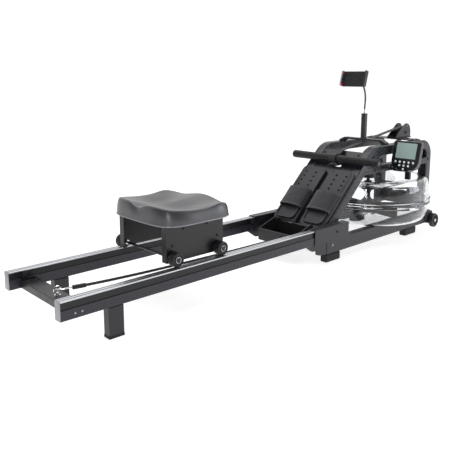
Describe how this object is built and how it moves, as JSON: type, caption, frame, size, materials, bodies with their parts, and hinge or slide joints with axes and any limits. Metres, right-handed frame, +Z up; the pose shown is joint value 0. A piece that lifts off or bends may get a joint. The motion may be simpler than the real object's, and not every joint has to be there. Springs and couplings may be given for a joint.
{
  "type": "rowing machine",
  "caption": "Home rowing machine: sliding saddle on twin rails, arched frame over a clear water tank, strap-pulled handle, footboards, tilting console and telephone holder.",
  "frame": {"origin": "on the floor under the middle of the bounding box", "axes": "+X along the rails from the rear end to the nose, the way the user faces; +Y to the user's left; +Z up"},
  "size_m": [2.025, 0.562, 0.76],
  "materials": {
    "rail": "anodised, grooved",
    "frame_paint": "charcoal powder coat",
    "black_plastic": "fine grain",
    "grey_plastic": "fine grain",
    "chrome": "bright",
    "rubber": "matt",
    "foam": "ribbed foam grip",
    "cushion": "soft grained vinyl",
    "webbing": "woven strap",
    "clear": "clear moulded plastic",
    "lcd": "grey-green display",
    "button": "white"
  },
  "bodies": {
    "frame": {"left_rail": "rail", "left_rear_leg": "frame_paint", "left_base_frame": "frame_paint", "left_arch": "frame_paint", "left_front_foot": "rubber", "left_nose_foot": "rubber", "left_footboard": "grey_plastic", "left_foot_strap": "webbing", "right_rail": "rail", "right_rear_leg": "frame_paint", "right_base_frame": "frame_paint", "right_arch": "frame_paint", "right_front_foot": "rubber", "right_nose_foot": "rubber", "right_footboard": "grey_plastic", "right_foot_strap": "webbing", "rear_cross_tube": "frame_paint", "front_panel": "frame_paint", "post_bracket": "frame_paint", "pulley_fork": "frame_paint", "handle_rest": "frame_paint", "console_arm": "frame_paint", "foot_frame": "black_plastic", "tank_hub": "black_plastic", "gooseneck": "black_plastic", "bungee_eyebolt": "chrome", "bungee_hook": "chrome", "bungee_cord": "rubber", "drive_strap": "webbing", "tank_lower": "clear", "tank_upper": "clear"},
    "seat": {"seat_carriage": "frame_paint", "seat_pad": "cushion"},
    "handle": {"handle_bar": "chrome", "handle_grip": "foam", "strap_clamp": "black_plastic"},
    "drum": {"strap_drum": "grey_plastic"},
    "pulley": {"nose_pulley": "grey_plastic"},
    "paddle": {"impeller": "black_plastic"},
    "console": {"console_housing": "black_plastic", "console_lcd": "lcd"},
    "phone_holder": {"phone_plate": "black_plastic"},
    "phone_clamp": {"phone_jaw": "grey_plastic"},
    "left_rear_wheel": {"left_rear_roller": "rubber"},
    "left_front_wheel": {"left_front_roller": "rubber"},
    "left_cup": {"left_heel_cup": "grey_plastic"},
    "left_transport": {"left_transport_wheel": "rubber"},
    "right_rear_wheel": {"right_rear_roller": "rubber"},
    "right_front_wheel": {"right_front_roller": "rubber"},
    "right_cup": {"right_heel_cup": "grey_plastic"},
    "right_transport": {"right_transport_wheel": "rubber"},
    "button_top_1_cap": {"button_top_1": "button"},
    "button_top_2_cap": {"button_top_2": "button"},
    "button_top_3_cap": {"button_top_3": "button"},
    "button_top_4_cap": {"button_top_4": "button"},
    "button_top_5_cap": {"button_top_5": "button"},
    "button_middle_1_cap": {"button_middle_1": "button"},
    "button_middle_2_cap": {"button_middle_2": "button"},
    "button_middle_3_cap": {"button_middle_3": "button"},
    "button_low_1_cap": {"button_low_1": "button"}
  },
  "joints": [
    {"name": "seat_slide", "type": "slide", "parent": "frame", "child": "seat", "axis": [1, 0, 0], "range_m": [-0.3, 0.42]},
    {"name": "left_rear_roller_spin", "type": "hinge", "parent": "seat", "child": "left_rear_wheel", "pos_m": [-0.603, 0.1465, 0.1743], "axis": [0, 1, 0], "continuous": true},
    {"name": "left_front_roller_spin", "type": "hinge", "parent": "seat", "child": "left_front_wheel", "pos_m": [-0.4145, 0.1465, 0.1743], "axis": [0, 1, 0], "continuous": true},
    {"name": "right_rear_roller_spin", "type": "hinge", "parent": "seat", "child": "right_rear_wheel", "pos_m": [-0.603, -0.1465, 0.1743], "axis": [0, 1, 0], "continuous": true},
    {"name": "right_front_roller_spin", "type": "hinge", "parent": "seat", "child": "right_front_wheel", "pos_m": [-0.4145, -0.1465, 0.1743], "axis": [0, 1, 0], "continuous": true},
    {"name": "handle_pull", "type": "slide", "parent": "frame", "child": "handle", "axis": [-0.966, 0, 0.2585], "range_m": [0, 1], "deforming": ["drive_strap"]},
    {"name": "pulley_spin", "type": "hinge", "parent": "frame", "child": "pulley", "pos_m": [0.9325, 0, 0.464], "axis": [0, 1, 0], "continuous": true},
    {"name": "drum_spin", "type": "hinge", "parent": "frame", "child": "drum", "pos_m": [0.6595, 0, 0.295], "axis": [0, 0, 1], "continuous": true},
    {"name": "paddle_spin", "type": "hinge", "parent": "frame", "child": "paddle", "pos_m": [0.6595, 0, 0.2], "axis": [0, 0, 1], "continuous": true},
    {"name": "console_tilt", "type": "hinge", "parent": "frame", "child": "console", "pos_m": [0.63633, -0.2147, 0.34737], "axis": [0, 1, 0], "range_deg": [-20, 20]},
    {"name": "button_top_1_press", "type": "slide", "parent": "console", "child": "button_top_1_cap", "axis": [0.972, 0, -0.2351], "range_m": [0, 0.0014], "stiffness_N_per_m": 200},
    {"name": "button_top_2_press", "type": "slide", "parent": "console", "child": "button_top_2_cap", "axis": [0.972, 0, -0.2351], "range_m": [0, 0.0014], "stiffness_N_per_m": 200},
    {"name": "button_top_3_press", "type": "slide", "parent": "console", "child": "button_top_3_cap", "axis": [0.972, 0, -0.2351], "range_m": [0, 0.0014], "stiffness_N_per_m": 200},
    {"name": "button_top_4_press", "type": "slide", "parent": "console", "child": "button_top_4_cap", "axis": [0.972, 0, -0.2351], "range_m": [0, 0.0014], "stiffness_N_per_m": 200},
    {"name": "button_top_5_press", "type": "slide", "parent": "console", "child": "button_top_5_cap", "axis": [0.972, 0, -0.2351], "range_m": [0, 0.0014], "stiffness_N_per_m": 200},
    {"name": "button_middle_1_press", "type": "slide", "parent": "console", "child": "button_middle_1_cap", "axis": [0.972, 0, -0.2351], "range_m": [0, 0.0014], "stiffness_N_per_m": 200},
    {"name": "button_middle_2_press", "type": "slide", "parent": "console", "child": "button_middle_2_cap", "axis": [0.972, 0, -0.2351], "range_m": [0, 0.0014], "stiffness_N_per_m": 200},
    {"name": "button_middle_3_press", "type": "slide", "parent": "console", "child": "button_middle_3_cap", "axis": [0.972, 0, -0.2351], "range_m": [0, 0.0014], "stiffness_N_per_m": 200},
    {"name": "button_low_1_press", "type": "slide", "parent": "console", "child": "button_low_1_cap", "axis": [0.972, 0, -0.2351], "range_m": [0, 0.0014], "stiffness_N_per_m": 200},
    {"name": "phone_swivel", "type": "hinge", "parent": "frame", "child": "phone_holder", "pos_m": [0.5225, 0, 0.7235], "axis": [-0.9632, 0, 0.2689], "range_deg": [-90, 90]},
    {"name": "phone_jaw_open", "type": "slide", "parent": "phone_holder", "child": "phone_clamp", "axis": [0, 1, 0], "range_m": [0, 0.03], "stiffness_N_per_m": 120},
    {"name": "left_cup_slide", "type": "slide", "parent": "frame", "child": "left_cup", "axis": [0.7234, 0, 0.6904], "range_m": [0, 0.03]},
    {"name": "left_transport_spin", "type": "hinge", "parent": "frame", "child": "left_transport", "pos_m": [0.9785, 0.172, 0.0405], "axis": [0, 1, 0], "continuous": true},
    {"name": "right_cup_slide", "type": "slide", "parent": "frame", "child": "right_cup", "axis": [0.7234, 0, 0.6904], "range_m": [0, 0.03]},
    {"name": "right_transport_spin", "type": "hinge", "parent": "frame", "child": "right_transport", "pos_m": [0.9785, -0.172, 0.0405], "axis": [0, 1, 0], "continuous": true}
  ],
  "couplings": [
    {"joint": "left_rear_roller_spin", "follows": "seat_slide", "rad_per_m": 43.478},
    {"joint": "left_front_roller_spin", "follows": "seat_slide", "rad_per_m": 43.478},
    {"joint": "right_rear_roller_spin", "follows": "seat_slide", "rad_per_m": 43.478},
    {"joint": "right_front_roller_spin", "follows": "seat_slide", "rad_per_m": 43.478},
    {"joint": "pulley_spin", "follows": "handle_pull", "rad_per_m": -34.483},
    {"joint": "drum_spin", "follows": "handle_pull", "rad_per_m": -30.581}
  ]
}
